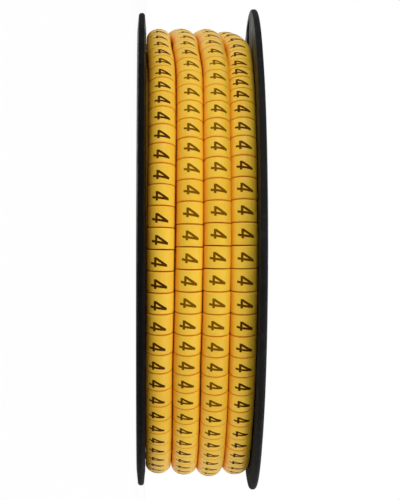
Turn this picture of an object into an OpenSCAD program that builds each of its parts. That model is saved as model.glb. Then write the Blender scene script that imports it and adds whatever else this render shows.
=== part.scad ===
// Reel of cable markers: a strip of soft oval sleeves wound on a two-piece moulded spool.
// The reel lies on its lower flange, with its axis along +Z and the floor at z = 0.

/* [Spool] */
// Diameter of the lower flange, which is moulded with the barrel
lower_flange_d = 136.6; // [134:0.2:160]
// Diameter of the upper flange, which is a separate ring
upper_flange_d = 139; // [136:0.2:160]
// Thickness of each flange at its raised rim
rim_t = 2.5; // [2.4:0.1:4]
// Thickness of each flange at its outer edge, where both faces have tapered in
edge_t = 1.8; // [1.7:0.1:2.3]
// Width of that taper
taper_w = 4.5; // [3:0.5:6]
// Radius of the rounded corners of each flange
rim_round = 0.8; // [0.3:0.1:0.8]
// Width of the raised rim on each flange's outer face, with the taper
rim_w = 7; // [6.5:0.5:9]
// Depth of the shallow recess inside that raised rim
face_recess = 0.5; // [0.2:0.1:0.9]
// Outer diameter of the barrel that the strip is wound on
barrel_d = 106.4; // [90:0.2:107]
// Wall of the barrel
barrel_wall = 2; // [1.5:0.1:3]

/* [Spindle tube] */
// Diameter of the hole for a spindle
spindle_d = 20; // [12:0.5:30]
// Wall of the spindle tube
spindle_wall = 2.2; // [1.5:0.1:4]
// Number of ribs between the spindle tube and the barrel
rib_count = 6; // [3:1:10]
// Thickness of each rib
rib_t = 1.6; // [1:0.1:3]
// Height of the ribs above the flange's inner face
rib_h = 9; // [4:0.5:14]

/* [End flange seat] */
// Length of the spigot that plugs into the barrel
spigot_depth = 6; // [3:0.5:10]
// Wall of the spigot
spigot_wall = 1.8; // [1.2:0.1:3]
// Clearance around the spigot
spigot_clear = 0.1; // [0.05:0.05:0.3]

/* [Tuck slot] */
// Width of the slot in the upper flange that takes the end of the strip
slot_w = 7.4; // [5:0.1:9]
// Length of the slot, measured along the flange's radius
slot_l = 12; // [9:0.5:14]
// Material left between the slot and the rim
slot_edge = 3; // [2:0.5:6]
// Direction of the slot around the axis
slot_angle = 180; // [0:5:355]

/* [Marker sleeve] */
// Width of the oval sleeve, along the reel's axis
tube_w = 7.25; // [6:0.05:8]
// Height of the oval sleeve, away from the barrel
tube_h = 5.8; // [4.5:0.05:5.9]
// Wall of the sleeve, seen at the strip's open end
tube_wall = 0.9; // [0.5:0.05:1.4]
// Length of one sleeve with its cut, at the outside of the roll
sleeve_pitch = 5.97; // [4:0.01:9]
// Width of the cut between two sleeves
cut_w = 0.27; // [0.1:0.01:0.6]
// Height of the web under the cuts that joins the sleeves
web_h = 0.6; // [0.5:0.05:1.2]
// Length of the open bore at the strip's end
open_l = 12; // [6:1:30]

/* [Winding] */
// Turns side by side in each layer
turns = 4; // [2:1:6]
// Layers of turns on the barrel
layers = 2; // [1:1:2]
// Gap between neighbouring turns
turn_gap = 0.11; // [0.05:0.01:0.3]
// Gap between the outer turns and the flanges
side_gap = 0.135; // [0.05:0.005:0.4]
// Gap between the barrel and the strip
barrel_gap = 0.15; // [0.05:0.05:0.4]
// How far each layer beds into the one below
nest = 0.3; // [0.2:0.05:0.4]
// Direction around the axis at which the strip has crossed to its next turn
cross_end = 200.5; // [0:0.5:360]
// Sleeves on the stretch where the strip crosses to its next turn
cross_sleeves = 12; // [8:1:16]

/* [Hidden] */
$fn = 180;
arc_fn = 40;
overcut = 1;

// Heights of the winding space and of the whole reel
turn_pitch = tube_w + turn_gap;
winding_w = turns * tube_w + (turns - 1) * turn_gap + 2 * side_gap;
upper_z = rim_t + winding_w;
reel_h = upper_z + rim_t;
first_turn_z = rim_t + side_gap + tube_w / 2;

// Radii from the axis outwards
bore_r = spindle_d / 2;
spindle_r = bore_r + spindle_wall;
barrel_r = barrel_d / 2;
barrel_in = barrel_r - barrel_wall;
spigot_r = barrel_in - spigot_clear;
spigot_in = spigot_r - spigot_wall;
lower_r = lower_flange_d / 2;
upper_r = upper_flange_d / 2;
core_in = barrel_r + barrel_gap;
roll_r = core_in + layers * tube_h - (layers - 1) * nest;
core_r = roll_r - tube_h + nest;

// Angles around the axis, in degrees
tube_r = roll_r - tube_h / 2;
sleeves_per_turn = round(2 * PI * roll_r / sleeve_pitch);
sleeve_step = 360 / sleeves_per_turn;
cut_step = cut_w / roll_r * 180 / PI;
open_step = open_l / roll_r * 180 / PI;
cross_step = cross_sleeves * sleeve_step;
cross_start = cross_end - cross_step;
cross_gap = 1.5 * cut_step;
cross_tilt = asin(turn_pitch / 2 / tube_r / sin(cross_step / 2));

// Section of a flange that stands on a height, with a tapered and rounded outer edge
module flange_section(inner, outer, bottom) {
    top = bottom + rim_t;
    taper_h = (rim_t - edge_t) / 2;
    edge_low = bottom + taper_h + rim_round;
    edge_high = top - taper_h - rim_round;
    round_in = inner + rim_round;
    round_out = outer - rim_round;
    polygon([
        [inner, bottom], [outer - taper_w, bottom], [round_out, bottom + taper_h], [outer, edge_low],
        [outer, edge_high], [round_out, top - taper_h], [outer - taper_w, top],
        [round_in, top], [inner, top - rim_round]
    ]);
    for (corner = [[round_out, edge_low], [round_out, edge_high], [round_in, top - rim_round]])
        translate(corner) circle(rim_round, $fn = arc_fn);
}

// Oval section with flat top and bottom, with its width along y
module oval(w, h) {
    square([h, w - h], center = true);
    for (side = [-1, 1])
        translate([0, side * (w - h) / 2]) circle(h / 2, $fn = arc_fn);
}

// Section of a ring between two radii and two heights
module ring_section(inner, outer, bottom, top) {
    translate([inner, bottom]) square([outer - inner, top - bottom]);
}

module spool_body() {
    color([0.06, 0.06, 0.06]) {
        difference() {
            rotate_extrude() {
                flange_section(bore_r, lower_r, 0);
                ring_section(barrel_in, barrel_r, rim_t / 2, upper_z);
                ring_section(bore_r, spindle_r, 0, reel_h);
            }
            rotate_extrude() ring_section(spindle_r, lower_r - rim_w, -overcut, face_recess);
        }
        for (rib = [0 : rib_count - 1])
            rotate([0, 0, rib * 360 / rib_count])
                translate([(bore_r + spindle_r) / 2, -rib_t / 2, rim_t / 2])
                    cube([(barrel_in + barrel_r - bore_r - spindle_r) / 2, rib_t, rim_t / 2 + rib_h]);
    }
}

module end_flange() {
    slot_out = upper_r - slot_edge - slot_w / 2;
    slot_in = slot_out - slot_l + slot_w;
    color([0.06, 0.06, 0.06])
        difference() {
            rotate_extrude() {
                flange_section(spigot_in, upper_r, upper_z);
                ring_section(spigot_in, spigot_r, upper_z - spigot_depth, upper_z + rim_t / 2);
            }
            rotate_extrude() ring_section(barrel_r, upper_r - rim_w, reel_h - face_recess, reel_h + overcut);
            rotate([0, 0, slot_angle])
                translate([0, 0, upper_z - overcut])
                    linear_extrude(rim_t + 2 * overcut) {
                        translate([slot_in, -slot_w / 2]) square([slot_out - slot_in, slot_w]);
                        for (end_x = [slot_in, slot_out])
                            translate([end_x, 0]) circle(slot_w / 2, $fn = arc_fn);
                    }
        }
}

// Height of a turn's centre, counted from 0 at the lower flange
function turn_z(turn) = first_turn_z + turn * turn_pitch;

// Layers under the outer one, wound tight and seen only as their outside
module inner_layers() {
    rotate_extrude() ring_section(core_in, core_r, rim_t + side_gap, upper_z - side_gap);
}

// Outer turns where they lie side by side
module straight_turns() {
    rotate([0, 0, cross_end])
        rotate_extrude(angle = 360 - cross_step)
            for (turn = [0 : turns - 1])
                translate([tube_r, turn_z(turn)]) oval(tube_w, tube_h);
}

// Stretch where each turn leans over to the place of the next
module crossing_turns() {
    for (turn = [0 : turns - 2])
        translate([0, 0, turn_z(turn + 0.5)])
            rotate([0, 0, (cross_start + cross_end) / 2])
                rotate([cross_tilt, 0, 0])
                    rotate([0, 0, cross_gap - cross_step / 2])
                        rotate_extrude(angle = cross_step - 2 * cross_gap)
                            translate([tube_r, 0]) oval(tube_w, tube_h);
}

// Cuts across the outer turns that part the sleeves down to their web
module sleeve_cuts() {
    for (index = [0 : sleeves_per_turn - 1])
        rotate([0, 0, cross_end + index * sleeve_step - cut_step / 2])
            rotate_extrude(angle = cut_step)
                ring_section(roll_r - tube_h + web_h, roll_r + overcut, rim_t, upper_z);
}

// Bore of the last sleeves, open at the strip's end
module open_end() {
    rotate([0, 0, cross_start - open_step])
        translate([0, 0, turn_z(turns - 1)])
            rotate_extrude(angle = open_step + cut_step)
                translate([tube_r, 0]) oval(tube_w - 2 * tube_wall, tube_h - 2 * tube_wall);
}

module marker_strip() {
    color([0.9, 0.7, 0.25])
        difference() {
            union() {
                inner_layers();
                straight_turns();
                crossing_turns();
            }
            sleeve_cuts();
            open_end();
        }
}

spool_body();
end_flange();
marker_strip();
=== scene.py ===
"""Looks of a reel of cable markers: printed oval sleeves wound on a black moulded spool."""

import math
import random

import bpy
import numpy as np
from mathutils import Matrix, Vector


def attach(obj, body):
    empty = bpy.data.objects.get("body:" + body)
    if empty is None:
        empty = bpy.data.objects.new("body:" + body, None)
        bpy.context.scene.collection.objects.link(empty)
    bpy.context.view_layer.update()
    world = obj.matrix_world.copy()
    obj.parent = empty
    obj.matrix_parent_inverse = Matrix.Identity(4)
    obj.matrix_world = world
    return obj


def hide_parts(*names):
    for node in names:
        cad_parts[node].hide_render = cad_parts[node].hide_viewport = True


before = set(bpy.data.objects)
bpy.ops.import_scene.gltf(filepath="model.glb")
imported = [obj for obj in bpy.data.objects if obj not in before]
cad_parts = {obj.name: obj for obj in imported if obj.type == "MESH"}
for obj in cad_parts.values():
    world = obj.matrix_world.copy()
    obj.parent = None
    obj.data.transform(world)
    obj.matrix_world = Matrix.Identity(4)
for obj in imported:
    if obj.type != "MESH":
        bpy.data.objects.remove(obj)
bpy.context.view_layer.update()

MM = 0.001
DEG = 180 / math.pi

# Sizes of the winding in millimetres and degrees, the same as in the part's source
RIM_T = 2.5
RIM_GAP = 0.135
TUBE_W = 7.25
TUBE_H = 5.8
TUBE_WALL = 0.9
TURN_GAP = 0.11
TURN_PITCH = TUBE_W + TURN_GAP
FIRST_TURN_Z = RIM_T + RIM_GAP + TUBE_W / 2
CORE_IN = 53.35
ROLL_R = 64.65
TUBE_R = ROLL_R - TUBE_H / 2
INNER_R = CORE_IN + TUBE_H / 2
SLEEVES = 68
SLEEVE_STEP = 360 / SLEEVES
TURNS = 4
CROSS_END = 200.5
CROSS_SLEEVES = 12
CROSS_STEP = CROSS_SLEEVES * SLEEVE_STEP
STRAIGHT_STEP = 360 - CROSS_STEP
CROSS_EASE = 0.4
CLIMB_SLEEVES = 10

# Oval of a sleeve: half of its width and of its height
HALF_W = TUBE_W / 2
HALF_H = TUBE_H / 2

# Cut between two sleeves: open at the crown, and closed where the web joins them
CUT_TOP = 0.33
CUT_BOTTOM = 0.02

# A short tube is straighter than the roll: how far its ends stand out from its middle
STRAIGHTEN = 0.045

# Small faults of a sleeve: millimetres outward, across the roll and at its cut, and radians of twist
FAULT_LIFT = 0.04
FAULT_SLIDE = 0.05
FAULT_CUT = 0.05
FAULT_TWIST = 0.009

# How far each turn lies from an even winding, in millimetres: its height and its sag towards +X
TURN_LIFT = (0.0, -0.2, 0.04, -0.66)
TURN_SAG = (0.18, 0.73, 0.95, 1.11)

# Drift of each turn across the roll, in millimetres, at some directions round the axis
SHIFT_DIRECTIONS = (186, 204, 217, 240, 259, 280, 298, 330)
TURN_SHIFT = (
    (-0.3, -0.12, 0.6, 0.6, 0.3, 0.1, -0.13, -0.12),
    (0.4, -0.1, 0.72, 0.66, 0.6, 0.24, -0.1, 0.0),
    (0.2, -0.1, 0.78, 0.48, 0.5, 0.28, 0.05, -0.02),
    (-1.5, 0.08, 0.12, 0.06, 0.08, 0.1, 0.02, -0.08),
)

# Stretch of each turn: degrees from an even spacing of its cuts, at some directions round the axis
CUT_DIRECTIONS = (197, 212, 222, 232, 248, 270, 297, 330)
CUT_DRIFT = (
    (4.9, 2.9, 1.8, 1.1, 1.0, 0.6, -0.2, -1.4),
    (-3.5, -2.8, -2.1, -1.6, -1.0, -0.5, -0.4, -0.3),
    (-4.5, -3.8, -2.3, -1.6, -1.4, -1.0, -0.3, 0.0),
    (1.8, 1.8, -0.8, -2.4, -2.3, -1.2, 0.0, 1.0),
)

# Share of its width that the strip loses where it climbs between the lower flange and its second turn,
# and the strip angles in degrees between which it gets its width back
CLIMB_SQUEEZE = 0.06
SQUEEZED_TO = -2
FREE_FROM = 16

rng = random.Random(4)


def chance(reach):
    """Random value between -reach and reach."""
    return rng.uniform(-reach, reach)


def strip_angle(turn, direction):
    """Angle along the strip, from its first turn, at a direction round the axis on one of its turns."""
    return 360 * turn + direction - CROSS_END


def all_turns(directions, rows):
    """Strip angles of a table with one row for each turn, and the values there."""
    angles = [strip_angle(turn, direction) for turn in range(TURNS) for direction in directions]
    return angles, [value for row in rows for value in row]


shift_angles, shift_sizes = all_turns(SHIFT_DIRECTIONS, TURN_SHIFT)
cut_angles, cut_sizes = all_turns(CUT_DIRECTIONS, CUT_DRIFT)


def ease(share):
    """Smooth step from 0 to 1."""
    share = np.clip(share, 0, 1)
    return share * share * (3 - 2 * share)


def by_turn(values, angle):
    """Value of the turn that this strip angle is on, blended where the strip crosses to the next."""
    turn = np.clip(np.floor(angle / 360), 0, TURNS - 1).astype(int)
    following = np.minimum(turn + 1, TURNS - 1)
    share = ease((angle - 360 * turn - STRAIGHT_STEP) / CROSS_STEP)
    table = np.array(values)
    return table[turn] * (1 - share) + table[following] * share


def strip_path(angle):
    """Radius and height of the strip's middle at a strip angle."""
    turn = np.clip(np.floor(angle / 360), 0, TURNS - 1)
    share = np.clip((angle - 360 * turn - STRAIGHT_STEP) / CROSS_STEP, 0, 1)
    across = (1 - CROSS_EASE) * share + CROSS_EASE * ease(share)
    height = FIRST_TURN_Z + TURN_PITCH * (turn + np.where(angle > 0, across, 0))
    height = height + np.interp(angle, shift_angles, shift_sizes)
    climbed = ease(1 + angle / (CLIMB_SLEEVES * SLEEVE_STEP))
    radius = INNER_R + (TUBE_R - INNER_R) * climbed + by_turn(TURN_LIFT, angle) * climbed
    return radius, height


def strip_lean(angle):
    """Slope of the strip across the roll, in radians."""
    reach = 0.5
    low = strip_path(angle - reach)[1]
    high = strip_path(angle + reach)[1]
    return np.arctan2(high - low, TUBE_R * 2 * reach / DEG)


def round_axis(radius, angle, sag, height):
    """Points at a radius and a strip angle, let down towards +X by the sag."""
    turned = np.radians(CROSS_END + angle)
    return np.stack([radius * np.cos(turned) + sag, radius * np.sin(turned), height], axis=-1)


class Sleeve:
    """One short tube of the strip, with its place and its small faults."""

    def __init__(self, index):
        edges = np.array([index, index + 1]) * SLEEVE_STEP
        start, end = edges + np.interp(edges, cut_angles, cut_sizes)
        self.middle = float(start + end) / 2
        self.half = float(end - start) / 2
        self.lift = chance(FAULT_LIFT)
        self.slide = chance(FAULT_SLIDE)
        self.twist = chance(FAULT_TWIST)
        self.cut = chance(FAULT_CUT)
        self.tone = rng.random()

    def point(self, along, across, out):
        """Points in millimetres: along runs from -1 to 1, across and out are from the tube's middle."""
        share = (out + HALF_H) / TUBE_H
        cut = CUT_BOTTOM + (CUT_TOP + self.cut - CUT_BOTTOM) * share
        half = self.half - cut / 2 / (TUBE_R + out) * DEG
        return self.place(self.middle + along * half, along, across, out)

    def place(self, angle, along, across, out):
        """Points at a strip angle, with the strip's lean, squeeze and sag there."""
        radius, height = strip_path(angle)
        lean = strip_lean(angle) + self.twist
        free = ease((angle - SQUEEZED_TO) / (FREE_FROM - SQUEEZED_TO))
        across = across * (1 - CLIMB_SQUEEZE * (1 - free))
        radius = radius + out + self.lift + STRAIGHTEN * (along * along - 0.5)
        angle = angle - across * np.sin(lean) / radius * DEG
        height = height + across * np.cos(lean) + self.slide
        return round_axis(radius, angle, by_turn(TURN_SAG, angle), height)


def add_object(name, data):
    """New object in the scene."""
    made = bpy.data.objects.new(name, data)
    bpy.context.scene.collection.objects.link(made)
    return made


class Shells:
    """Points and faces of many shells that make one object, with a tone and a share of painted shade
    towards the sides.
    """

    def __init__(self):
        self.points = []
        self.faces = []
        # The attribute side holds each point's share of painted shade towards the sleeve's sides and cut
        # walls
        self.values = {"tone": [], "side": []}

    def add(self, points, faces, tone, sides=None):
        start = len(self.points)
        self.points.extend(points)
        self.values["tone"].extend([tone] * len(points))
        self.values["side"].extend([0.0] * len(points) if sides is None else sides)
        self.faces.extend([tuple(start + corner for corner in face) for face in faces])

    def build(self, name):
        mesh = bpy.data.meshes.new(name)
        mesh.from_pydata([tuple(float(v) * MM for v in p) for p in self.points], [], self.faces)
        for key, values in self.values.items():
            mesh.attributes.new(key, "FLOAT", "POINT").data.foreach_set("value", values)
        mesh.update()
        return add_object(name, mesh)


def oval(shrink, upper, lower):
    """Oval of a sleeve as arrays of across and out, from the crown round to its start."""
    right = np.concatenate([np.linspace(90, 0, upper + 1), np.linspace(0, -90, lower + 1)[1:]])
    left = 180 - right[::-1]
    turned = np.radians(np.concatenate([right, left[1:-1]]))
    return (HALF_W - shrink) * np.cos(turned), (HALF_H - shrink) * np.sin(turned)


def rings(sections, alongs, sleeve):
    """Rings of points along a sleeve, joined by faces that look outward."""
    count = len(sections[0][0])
    points = []
    for (across, out), along in zip(sections, alongs):
        points.extend(sleeve.point(np.full(count, along), across, out))
    faces = []
    for ring in range(len(sections) - 1):
        for n in range(count):
            a = ring * count + n
            b = ring * count + (n + 1) % count
            faces.append((a, a + count, b + count, b))
    return points, faces, count


# Rings of a sleeve: share of its length, and how far the oval shrinks there to round the cut's edge
EDGE = ((0.0, 0.17), (0.016, 0.055), (0.05, 0.0))
FAR_EDGE = tuple((1 - share, shrink) for share, shrink in reversed(EDGE))
ENDS = (EDGE[0], FAR_EDGE[-1])
MIDDLE = (0.3, 0.5, 0.7)
SHORT_MIDDLE = (0.5,)
BORE_ROUNDING = 0.12
BORE = ((1.0, TUBE_WALL - BORE_ROUNDING), (0.98, TUBE_WALL), (0.12, TUBE_WALL))

# Shares of painted shade, a tint for the shade between sleeves, which is full on the side towards the
# lower flange
FAR_SIDE_SHADE = 0.75
CUT_WALL_SHADE = 0.9


def side_shade_shares(sections, shape):
    """How far each point of a sleeve lies towards its sides or on the walls of its cuts: its share of
    painted shade.
    """
    shares = []
    for (across, out), ring in zip(sections, shape):
        least = CUT_WALL_SHADE if ring in ENDS else 0.0
        for reach in across:
            shares.append(max(-float(reach) / HALF_W, FAR_SIDE_SHADE * float(reach) / HALF_W, least))
    return shares


def add_sleeve(shells, sleeve, open_end=False, upper=11, lower=4, middle=MIDDLE):
    """A closed sleeve with rounded cut edges; an open end shows its bore."""
    shape = EDGE + tuple((share, 0.0) for share in middle) + FAR_EDGE
    if open_end:
        shape += BORE
    sections = [oval(shrink, upper, lower) for share, shrink in shape]
    alongs = [2 * share - 1 for share, shrink in shape]
    points, faces, count = rings(sections, alongs, sleeve)
    last = (len(sections) - 1) * count
    faces.append(tuple(range(count)))
    faces.append(tuple(range(last + count - 1, last - 1, -1)))
    shells.add(points, faces, sleeve.tone, side_shade_shares(sections, shape))


# The strip's outer turns, and its climb from the layer below
sleeves = [Sleeve(n) for n in range(TURNS * SLEEVES - CROSS_SLEEVES)]
strip = Shells()
for sleeve in sleeves:
    add_sleeve(strip, sleeve, open_end=sleeve is sleeves[-1])
climb = [Sleeve(n) for n in range(-CLIMB_SLEEVES, 0)]
for sleeve in climb:
    add_sleeve(strip, sleeve, middle=SHORT_MIDDLE)

# Sleeves of the layer below: their step, those to spare at each end, each row's shift, and their drop
INNER_STEP = SLEEVE_STEP * ROLL_R / (INNER_R + HALF_H)
INNER_SPARE = 2
INNER_FIRST = -CROSS_STEP - INNER_SPARE * INNER_STEP
INNER_COUNT = int((CROSS_STEP + 2 * INNER_SPARE * INNER_STEP) / INNER_STEP)
INNER_STAGGER = 0.2
INNER_DROP = 0.05


class InnerSleeve(Sleeve):
    """A sleeve of the layer below, seen where the strip leaves room beside its crossing."""

    def __init__(self, row, angle):
        super().__init__(0)
        self.row = row
        self.middle = angle

    def point(self, along, across, out):
        cut = CUT_BOTTOM + (CUT_TOP - CUT_BOTTOM) * (out + HALF_H) / TUBE_H
        half = INNER_STEP / 2 - cut / 2 / (INNER_R + out) * DEG
        radius = INNER_R + out + self.lift - INNER_DROP
        height = FIRST_TURN_Z + TURN_PITCH * self.row + across + self.slide
        return round_axis(radius, self.middle + along * half, TURN_SAG[self.row], height)


for row in range(TURNS):
    for n in range(INNER_COUNT):
        sleeve = InnerSleeve(row, INNER_FIRST + (n + INNER_STAGGER * row) * INNER_STEP)
        add_sleeve(strip, sleeve, upper=7, lower=3, middle=SHORT_MIDDLE)

# Ring of the layer below, under the sleeves all round and just clear of the lower flange
CORE_DROP = 1.5
CORE_GAP = 0.02
CORE_TOP = ROLL_R - TUBE_H - CORE_DROP
CORE_LOW = RIM_T + CORE_GAP
CORE_HIGH = FIRST_TURN_Z + TURN_PITCH * (TURNS - 1) + TUBE_W / 2 + TURN_GAP
CORE_SECTION = (
    (CORE_IN, CORE_LOW), (CORE_IN, CORE_HIGH), (CORE_TOP, CORE_HIGH), (CORE_TOP, CORE_LOW),
)
CORE_PARTS = 144
CORE_TONE = 0.5
# Share of painted shade on the ring: part of the tint of the sleeves' sides
CORE_SHADE = 0.8
core_points = []
core_faces = []
for n in range(CORE_PARTS):
    turned = 2 * math.pi * n / CORE_PARTS
    core_points += [(r * math.cos(turned), r * math.sin(turned), z) for r, z in CORE_SECTION]
    here, there = 4 * n, 4 * ((n + 1) % CORE_PARTS)
    for side in range(4):
        after = (side + 1) % 4
        core_faces.append((here + side, here + after, there + after, there + side))
strip.add(core_points, core_faces, CORE_TONE, [CORE_SHADE] * len(core_points))
marker_sleeves = strip.build("marker_sleeves")

# Printed digit on each sleeve: a leaning 4 in millimetres, x along the strip and y across it
DIGIT_H = 4.45
STROKE = 0.64
LEAN = 0.14
BAR_Y = 1.25
BAR_LEFT = -1.6
BAR_RIGHT = 1.0

# Steps of each stroke's patch, and columns of all of them
STEM_STEPS = 12
SLOPE_STEPS = 9
BAR_STEPS = 2
PATCH_COLUMNS = 4

# The print: its height over the sleeve, and the first sleeves of the climb, which lie buried and have none
PRINT_LIFT = 0.014
BURIED = 5

# For each turn, the print's shift along the strip in millimetres, and how thin its ink is; the ink is
# darker on the side towards +X
PRINT_ALONG = (0.42, 0.0, -0.1, 0.0)
PRINT_THIN = (0.1, 1.0, 1.0, 0.45)
PRINT_DARKER_TO_X = 0.55
TONE_OF_TURN = 0.7
TONE_OF_DIGIT = 0.3

# Faults of a digit: radians of turn, and millimetres across and along the strip
FAULT_SPIN = 0.02
FAULT_ASIDE = 0.05
FAULT_ALONG = 0.06

# Sideways drift of the print along the strip: turn, direction round the axis, millimetres
PRINT_DRIFT = (
    (0, 217, 0.46), (0, 231, 0.05), (0, 250, -0.16), (0, 268, -0.3), (0, 294, -0.55), (0, 330, -0.6),
    (1, 217, 0.6), (1, 251, 0.45), (1, 268, 0.17), (1, 283, -0.17), (1, 298, -0.16), (1, 330, -0.65),
    (2, 217, 0.37), (2, 231, 0.5), (2, 259, 0.27), (2, 283, 0.02), (2, 298, -0.08), (2, 337, -0.25),
    (3, 217, -0.45), (3, 262, 0.43), (3, 283, 0.27), (3, 316, 0.25), (3, 339, -0.25),
)
drift_angles = [strip_angle(turn, direction) for turn, direction, drift in PRINT_DRIFT]
drift_sizes = [drift for turn, direction, drift in PRINT_DRIFT]

# Lengths along a sleeve's crown, to both sides of its middle, and the turn from the middle at each
CROWN_POINTS = 181
crown_turns = np.radians(np.linspace(-90, 90, CROWN_POINTS))
crown_steps = np.hypot(np.diff(HALF_W * np.sin(crown_turns)), np.diff(HALF_H * np.cos(crown_turns)))
crown_runs = np.concatenate([[0], np.cumsum(crown_steps)]) - crown_steps.sum() / 2


def digit_patches():
    """The digit's strokes as four-cornered patches that meet without overlap, each with its steps."""
    half = STROKE / 2
    low, high = BAR_Y - half, BAR_Y + half
    top = LEAN * DIGIT_H
    run = top - half - BAR_LEFT
    rise = DIGIT_H - high
    wide = STROKE * math.hypot(run, rise) / rise
    meet = (LEAN * high - half - BAR_LEFT - wide) / (run - LEAN * rise)
    inner_end = (BAR_LEFT + wide + run * meet, high + rise * meet)
    stem = ((-half, 0), (half, 0), (top + half, DIGIT_H), (top - half, DIGIT_H))
    left = ((BAR_LEFT, low), (LEAN * low - half, low), (LEAN * high - half, high), (BAR_LEFT, high))
    right = ((LEAN * low + half, low), (BAR_RIGHT, low), (BAR_RIGHT, high), (LEAN * high + half, high))
    slope = ((BAR_LEFT, high), (BAR_LEFT + wide, high), inner_end, (top - half, DIGIT_H))
    return ((stem, STEM_STEPS), (left, BAR_STEPS), (right, BAR_STEPS), (slope, SLOPE_STEPS))


PATCHES = digit_patches()


def patch_points(corners, steps):
    """Grid of points on a four-cornered patch of the flat digit."""
    a, b, c, d = [np.array(corner, float) for corner in corners]
    points = []
    for n in range(steps + 1):
        start, end = a + (d - a) * n / steps, b + (c - b) * n / steps
        points += [start + (end - start) * m / PATCH_COLUMNS for m in range(PATCH_COLUMNS + 1)]
    return np.array(points)


def patch_faces(steps):
    """Faces between the points of a patch."""
    width = PATCH_COLUMNS + 1
    corners = [n * width + m for n in range(steps) for m in range(PATCH_COLUMNS)]
    return [(corner, corner + 1, corner + width + 1, corner + width) for corner in corners]


def add_digit(shells, sleeve):
    """Prints the digit on a sleeve's crown as a thin skin that follows it."""
    turn = max(0, min(int(sleeve.middle // 360), TURNS - 1))
    spin = chance(FAULT_SPIN)
    aside = float(np.interp(sleeve.middle, drift_angles, drift_sizes)) + chance(FAULT_ASIDE)
    along_shift = PRINT_ALONG[turn] + chance(FAULT_ALONG)
    lower_side = max(0.0, float(np.cos(np.radians(CROSS_END + sleeve.middle))))
    thin = max(0.0, float(by_turn(PRINT_THIN, sleeve.middle)) - PRINT_DARKER_TO_X * lower_side)
    tone = TONE_OF_TURN * thin + TONE_OF_DIGIT * rng.random()
    for corners, steps in PATCHES:
        flat = patch_points(corners, steps)
        x = flat[:, 0] - (BAR_LEFT + BAR_RIGHT) / 2
        y = flat[:, 1] - DIGIT_H / 2
        run = x - spin * y + along_shift
        reach = y + spin * x + aside
        turned = np.interp(reach, crown_runs, crown_turns)
        across = (HALF_W + PRINT_LIFT) * np.sin(turned)
        out = (HALF_H + PRINT_LIFT) * np.cos(turned)
        angle = sleeve.middle + run / ROLL_R * DEG
        along = run / (sleeve.half / DEG * ROLL_R)
        shells.add(sleeve.place(angle, along, across, out), patch_faces(steps), tone)


print_shells = Shells()
for sleeve in climb[BURIED:] + sleeves:
    add_digit(print_shells, sleeve)
printed_digits = print_shells.build("printed_digits")


class Tree:
    """Short way to make and join shader nodes, in a tree that starts empty."""

    def __init__(self, tree):
        self.tree = tree
        self.tree.nodes.clear()

    def make(self, kind, **values):
        made = self.tree.nodes.new(kind)
        for key, value in values.items():
            setattr(made, key, value)
        return made

    def join(self, source, output, target, socket):
        self.tree.links.new(source.outputs[output], target.inputs[socket])

    def maths(self, operation, *values):
        """Each value is a number, or a node with the name of its output."""
        made = self.make("ShaderNodeMath", operation=operation)
        for place, value in enumerate(values):
            if isinstance(value, tuple):
                self.join(value[0], value[1], made, place)
            else:
                made.inputs[place].default_value = value
        return made

    def span(self, source, output, low, high, start=0.3, end=0.7):
        """Maps a range, at first a noise's usual one, to low and high."""
        made = self.make("ShaderNodeMapRange")
        made.inputs["From Min"].default_value = start
        made.inputs["From Max"].default_value = end
        made.inputs["To Min"].default_value = low
        made.inputs["To Max"].default_value = high
        self.join(source, output, made, "Value")
        return made

    def shown(self):
        """1 on rays that show a surface: from the camera, off gloss and through glass."""
        path = self.make("ShaderNodeLightPath")
        direct = self.maths("MAXIMUM", (path, "Is Camera Ray"), (path, "Is Glossy Ray"))
        return self.maths("MAXIMUM", (direct, "Value"), (path, "Is Transmission Ray"))


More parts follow.
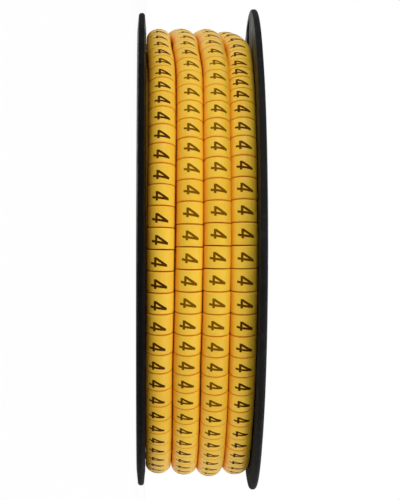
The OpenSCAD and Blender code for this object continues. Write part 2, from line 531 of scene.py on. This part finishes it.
class Nodes(Tree):
    """Nodes of a new material with one shader."""

    def __init__(self, name):
        self.material = bpy.data.materials.new(name)
        self.material.use_nodes = True
        super().__init__(self.material.node_tree)
        self.out = self.make("ShaderNodeOutputMaterial")
        self.shader = self.make("ShaderNodeBsdfPrincipled")
        self.join(self.shader, "BSDF", self.out, "Surface")
        self.coords = self.make("ShaderNodeTexCoord")

    def fix(self, socket, value):
        """Sets a value that is the same all over the surface."""
        self.shader.inputs[socket].default_value = value

    def noise(self, scale, detail=2.0, source=None, output="Object"):
        made = self.make("ShaderNodeTexNoise")
        made.inputs["Scale"].default_value = scale
        made.inputs["Detail"].default_value = detail
        self.join(source or self.coords, output, made, "Vector")
        return made

    def attribute(self, name):
        return self.make("ShaderNodeAttribute", attribute_name=name)

    def ramp(self, source, output, stops):
        made = self.make("ShaderNodeValToRGB")
        points = made.color_ramp.elements
        while len(points) < len(stops):
            points.new(0.5)
        for point, (place, colour) in zip(points, stops):
            point.position = place
            point.color = (*colour, 1)
        self.join(source, output, made, "Fac")
        return made

    def bump(self, source, strength, distance, normal=None):
        made = self.make("ShaderNodeBump")
        made.inputs["Strength"].default_value = strength
        made.inputs["Distance"].default_value = distance
        self.join(source, "Fac", made, "Height")
        if normal:
            self.join(normal, "Normal", made, "Normal")
        return made

    def split(self):
        """Place on the reel, in metres."""
        made = self.make("ShaderNodeSeparateXYZ")
        self.join(self.coords, "Object", made, "Vector")
        return made

    def from_axis(self):
        """Distance from the reel's axis."""
        flat = self.make("ShaderNodeVectorMath", operation="MULTIPLY")
        flat.inputs[1].default_value = (1, 1, 0)
        self.join(self.coords, "Object", flat, 0)
        made = self.make("ShaderNodeVectorMath", operation="LENGTH")
        self.join(flat, "Vector", made, 0)
        return made

    def facing(self):
        """Direction that the surface faces."""
        made = self.make("ShaderNodeSeparateXYZ")
        self.join(self.coords, "Normal", made, "Vector")
        return made

    def turned_out(self):
        """1 on surfaces that face away from the reel's axis, 0 on its flat faces."""
        flat = self.maths("ABSOLUTE", (self.facing(), "Z"))
        return self.span(flat, "Value", low=1.0, high=0.0, start=0.85, end=0.98)

    def around(self):
        """Coordinates that stay the same round the axis, so that a texture runs round it as lines."""
        made = self.make("ShaderNodeCombineXYZ")
        self.join(self.from_axis(), "Value", made, "X")
        self.join(self.split(), "Z", made, "Z")
        return made


YELLOWS = ((0.25, (0.86, 0.5, 0.028)), (0.75, (0.9, 0.57, 0.04)))
# Painted shade: a tint that deepens the yellow towards a sleeve's sides and on its cut walls
SIDE_SHADE_TINT = (1.0, 0.56, 0.42, 1)
YELLOW_BY_PLACE = 0.65
YELLOW_BY_SLEEVE = 0.35


def vinyl():
    """Soft yellow vinyl with painted shade, an orange tint towards a sleeve's sides and on its cut walls,
    with faint drawn lines along the tube.
    """
    nodes = Nodes("marker_vinyl")
    own = nodes.maths("MULTIPLY", (nodes.attribute("tone"), "Fac"), YELLOW_BY_SLEEVE)
    broad = nodes.noise(scale=38, detail=3)
    mixed = nodes.maths("MULTIPLY_ADD", (broad, "Fac"), YELLOW_BY_PLACE, (own, "Value"))
    colour = nodes.ramp(mixed, "Value", YELLOWS)
    # Painted shade, by each point's share in the attribute side
    deeper = nodes.make("ShaderNodeMix", data_type="RGBA", blend_type="MULTIPLY")
    deeper.inputs["B"].default_value = SIDE_SHADE_TINT
    painted_side_shade = nodes.span(nodes.attribute("side"), "Fac", low=0.0, high=1.0, start=0.65, end=1.0)
    nodes.join(painted_side_shade, "Result", deeper, "Factor")
    nodes.join(colour, "Color", deeper, "A")
    nodes.join(deeper, "Result", nodes.shader, "Base Color")
    sheen = nodes.span(nodes.noise(scale=900), "Fac", low=0.38, high=0.52)
    nodes.join(sheen, "Result", nodes.shader, "Roughness")
    lines = nodes.noise(scale=2600, source=nodes.around(), output="Vector")
    drawn = nodes.bump(lines, strength=0.1, distance=0.00006)
    grain = nodes.bump(nodes.noise(scale=3200), strength=0.08, distance=0.00005, normal=drawn)
    nodes.join(grain, "Normal", nodes.shader, "Normal")
    nodes.fix("Specular IOR Level", 0.28)
    return nodes.material


INK_TONES = (
    (0.15, (0.05, 0.016, 0.001)), (0.5, (0.1, 0.034, 0.001)),
    (0.7, (0.15, 0.06, 0.001)), (1.0, (0.22, 0.095, 0.002)),
)
INK_BY_DIGIT = 0.8
INK_BY_PLACE = 0.4


def ink():
    """Dark brown print, thinner in places and on some digits."""
    nodes = Nodes("print_ink")
    patchy = nodes.noise(scale=1500, detail=3)
    place = nodes.maths("MULTIPLY", (patchy, "Fac"), INK_BY_PLACE)
    tone = nodes.attribute("tone")
    mixed = nodes.maths("MULTIPLY_ADD", (tone, "Fac"), INK_BY_DIGIT, (place, "Value"))
    nodes.join(nodes.ramp(mixed, "Value", INK_TONES), "Color", nodes.shader, "Base Color")
    nodes.join(nodes.span(patchy, "Fac", low=0.5, high=0.7), "Result", nodes.shader, "Roughness")
    grain = nodes.bump(nodes.noise(scale=3500), strength=0.1, distance=0.00003)
    nodes.join(grain, "Normal", nodes.shader, "Normal")
    nodes.fix("Specular IOR Level", 0.02)
    return nodes.material


# Places on the spool in metres: the radii between which its rim starts, the tuck slot's middle and the
# reach of the painted shade round it, and where the dull side starts along X
RIM_START = {"start": 0.058, "end": 0.065}
SLOT_X = -0.0605
SLOT_REACH_X = 0.00605
SLOT_REACH_Y = 0.0066
DULL_SIDE = {"start": -0.02, "end": 0.03}

# Cover is a share from clean to worn: how much of it is broad, what is left of it, and the painted light
# added to it on the spool's inside, a paler grey that lets the recess show, and the rim's roughness
COVER_BROAD = 0.5
INSIDE_COVER = 0.4
INSIDE_PAINTED_LIGHT = 0.6
RIM_ROUGH = 0.9


def paler_inside_painted_light(nodes, cover):
    """Keeps part of the cover and paints light on the inside of the spool, away from its rim, as a paler
    grey that lets the recess show; no place is dull.
    """
    inside = nodes.span(nodes.from_axis(), "Value", low=INSIDE_PAINTED_LIGHT, high=0.0, **RIM_START)
    return nodes.maths("MULTIPLY_ADD", (cover, "Value"), INSIDE_COVER, (inside, "Result")), None


def slot_painted_shade(nodes, cover):
    """Paints shade in the tuck slot and round its inner mouth: takes the cover away there, so that they
    are darker, and makes them dull.
    """
    split = nodes.split()
    wide = nodes.maths("COMPARE", (split, "Y"), 0.0, SLOT_REACH_Y)
    long = nodes.maths("COMPARE", (split, "X"), SLOT_X, SLOT_REACH_X)
    mouth = nodes.maths("MULTIPLY", (wide, "Value"), (long, "Value"))
    inward = nodes.maths("LESS_THAN", (nodes.facing(), "Z"), 0.5)
    slot = nodes.maths("MULTIPLY", (mouth, "Value"), (inward, "Value"))
    clear = nodes.maths("SUBTRACT", 1.0, (slot, "Value"))
    return nodes.maths("MULTIPLY", (cover, "Value"), (clear, "Value")), slot


def moulding(name, stops, rough, scuffs, place):
    """Black moulded plastic with fine grain, soft sheen marks and a little wear, duller at its rim."""
    nodes = Nodes(name)
    worn = nodes.span(nodes.noise(scale=420, detail=5), "Fac", low=0.0, high=scuffs, start=0.56, end=0.8)
    broad = nodes.noise(scale=60, detail=4)
    cover = nodes.maths("MULTIPLY_ADD", (broad, "Fac"), COVER_BROAD, (worn, "Result"))
    shade, dull = place(nodes, cover)
    greys = [(spot, (grey, grey, grey)) for spot, grey in stops]
    nodes.join(nodes.ramp(shade, "Value", greys), "Color", nodes.shader, "Base Color")
    outside = nodes.span(nodes.from_axis(), "Value", low=0.0, high=RIM_ROUGH - rough, **RIM_START)
    dull_side = nodes.span(nodes.split(), "X", low=0.0, high=1.0, **DULL_SIDE)
    dulled = nodes.maths("MAXIMUM", (nodes.turned_out(), "Result"), (dull_side, "Result"))
    duller = nodes.maths("MULTIPLY_ADD", (outside, "Result"), (dulled, "Value"), rough)
    marks = nodes.span(nodes.noise(scale=240, detail=4), "Fac", low=-0.07, high=0.09)
    sheen = nodes.maths("ADD", (marks, "Result"), (duller, "Value"))
    if dull:
        sheen = nodes.maths("MAXIMUM", (sheen, "Value"), (dull, "Value"))
    nodes.join(sheen, "Value", nodes.shader, "Roughness")
    rounds = nodes.noise(scale=1500, source=nodes.around(), output="Vector")
    lines = nodes.bump(rounds, strength=0.06, distance=0.00008)
    grain = nodes.bump(nodes.noise(scale=2600, detail=3), strength=0.12, distance=0.00005, normal=lines)
    nodes.join(grain, "Normal", nodes.shader, "Normal")
    nodes.fix("Specular IOR Level", 0.08)
    return nodes.material


def dress(piece, material):
    piece.data.materials.clear()
    piece.data.materials.append(material)


def smooth(piece):
    piece.data.polygons.foreach_set("use_smooth", [True] * len(piece.data.polygons))
    piece.data.update()


dress(marker_sleeves, vinyl())
dress(printed_digits, ink())
for piece in (marker_sleeves, printed_digits):
    smooth(piece)
    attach(piece, "root")
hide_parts("marker_strip")

# Greys of the mouldings by their cover; the spool's paler greys are reached only where light is painted on
# its inside
BODY_GREYS = ((0.05, 0.002), (0.4, 0.007), (0.65, 0.024), (1.0, 0.05))
FLANGE_GREYS = ((0.0, 0.0005), (0.15, 0.008), (1.0, 0.03))
body_black = moulding("spool_black", BODY_GREYS, rough=0.4, scuffs=0.25, place=paler_inside_painted_light)
# The flange's grey is taken down to the darkest in and round its tuck slot: painted shade
flange_black = moulding("flange_black", FLANGE_GREYS, rough=0.48, scuffs=0.5, place=slot_painted_shade)
dress(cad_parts["spool_body"], body_black)
dress(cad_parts["end_flange"], flange_black)

# Floor of pale paper, nearly white where it is seen, so that it keeps a faint shadow
FLOOR_HALF = 2.5
FLOOR_Z = -0.0001
FLOOR_GLOW = 0.93
floor_mesh = bpy.data.meshes.new("floor")
FLOOR_CORNERS = ((-1, -1), (1, -1), (1, 1), (-1, 1))
floor_points = [(x * FLOOR_HALF, y * FLOOR_HALF, FLOOR_Z) for x, y in FLOOR_CORNERS]
floor_mesh.from_pydata(floor_points, [], [(0, 1, 2, 3)])
floor = add_object("floor", floor_mesh)
paper = Nodes("floor_paper")
paper.fix("Base Color", (0.9, 0.9, 0.9, 1))
paper.fix("Roughness", 0.9)
paper.fix("Specular IOR Level", 0.1)
glow = paper.make("ShaderNodeEmission")
glow.inputs["Strength"].default_value = 1.0
share = paper.maths("MULTIPLY", (paper.shown(), "Value"), FLOOR_GLOW)
blend = paper.make("ShaderNodeMixShader")
paper.join(share, "Value", blend, 0)
paper.join(paper.shader, "BSDF", blend, 1)
paper.join(glow, "Emission", blend, 2)
paper.join(blend, "Shader", paper.out, "Surface")
dress(floor, paper.material)

# World: white where it is seen, softer as a light
WORLD_LIGHT = 0.42
world = bpy.data.worlds.new("studio")
bpy.context.scene.world = world
world.use_nodes = True
studio = Tree(world.node_tree)
sky = studio.make("ShaderNodeBackground")
sky.inputs["Color"].default_value = (1, 1, 1, 1)
strength = studio.span(studio.shown(), "Value", low=WORLD_LIGHT, high=1.0, start=0.0, end=1.0)
studio.join(strength, "Result", sky, "Strength")
studio.join(sky, "Background", studio.make("ShaderNodeOutputWorld"), "Surface")

# Soft boxes round the middle of the reel
CENTRE = Vector((0, 0, 0.0173))
LAMP_DISTANCE = 1.1
LAMP_SIZE = 0.5


def softbox(name, direction, power):
    lamp = bpy.data.lights.new(name, "AREA")
    lamp.shape = "DISK"
    lamp.size = LAMP_SIZE
    lamp.energy = power
    made = add_object(name, lamp)
    made.location = CENTRE + Vector(direction).normalized() * LAMP_DISTANCE
    made.rotation_mode = "QUATERNION"
    made.rotation_quaternion = (CENTRE - made.location).to_track_quat("-Z", "Y")


softbox("top", (-0.85, -0.5, 0.08), power=4.6)
softbox("right", (0.0, -0.7, 0.7), power=2.6)
softbox("low", (0.7, -0.45, 0.55), power=2.7)
softbox("back", (0.2, 0.85, 0.5), power=2.8)

# Camera at the photograph's place: image right is +Z, image top is -X
CAMERA_AT = Vector((0.0002, -0.643, 0.0031))
CAMERA_TURN = math.radians(1.35)
CAMERA_ROLL = math.radians(0.12)
ahead = Vector((0, math.cos(CAMERA_TURN), math.sin(CAMERA_TURN)))
level_right = Vector((0, -math.sin(CAMERA_TURN), math.cos(CAMERA_TURN)))
level_up = Vector((-1, 0, 0))
right = level_right * math.cos(CAMERA_ROLL) + level_up * math.sin(CAMERA_ROLL)
up = level_up * math.cos(CAMERA_ROLL) - level_right * math.sin(CAMERA_ROLL)
lens = bpy.data.cameras.new("camera")
lens.sensor_width = 36
lens.lens = 159.2
lens.clip_start = 0.01
lens.clip_end = 20
camera = add_object("camera", lens)
camera_axes = Matrix((right, up, -ahead)).transposed()
camera.matrix_world = Matrix.Translation(CAMERA_AT) @ camera_axes.to_4x4()
bpy.context.scene.camera = camera

bpy.context.scene.view_settings.view_transform = "Standard"
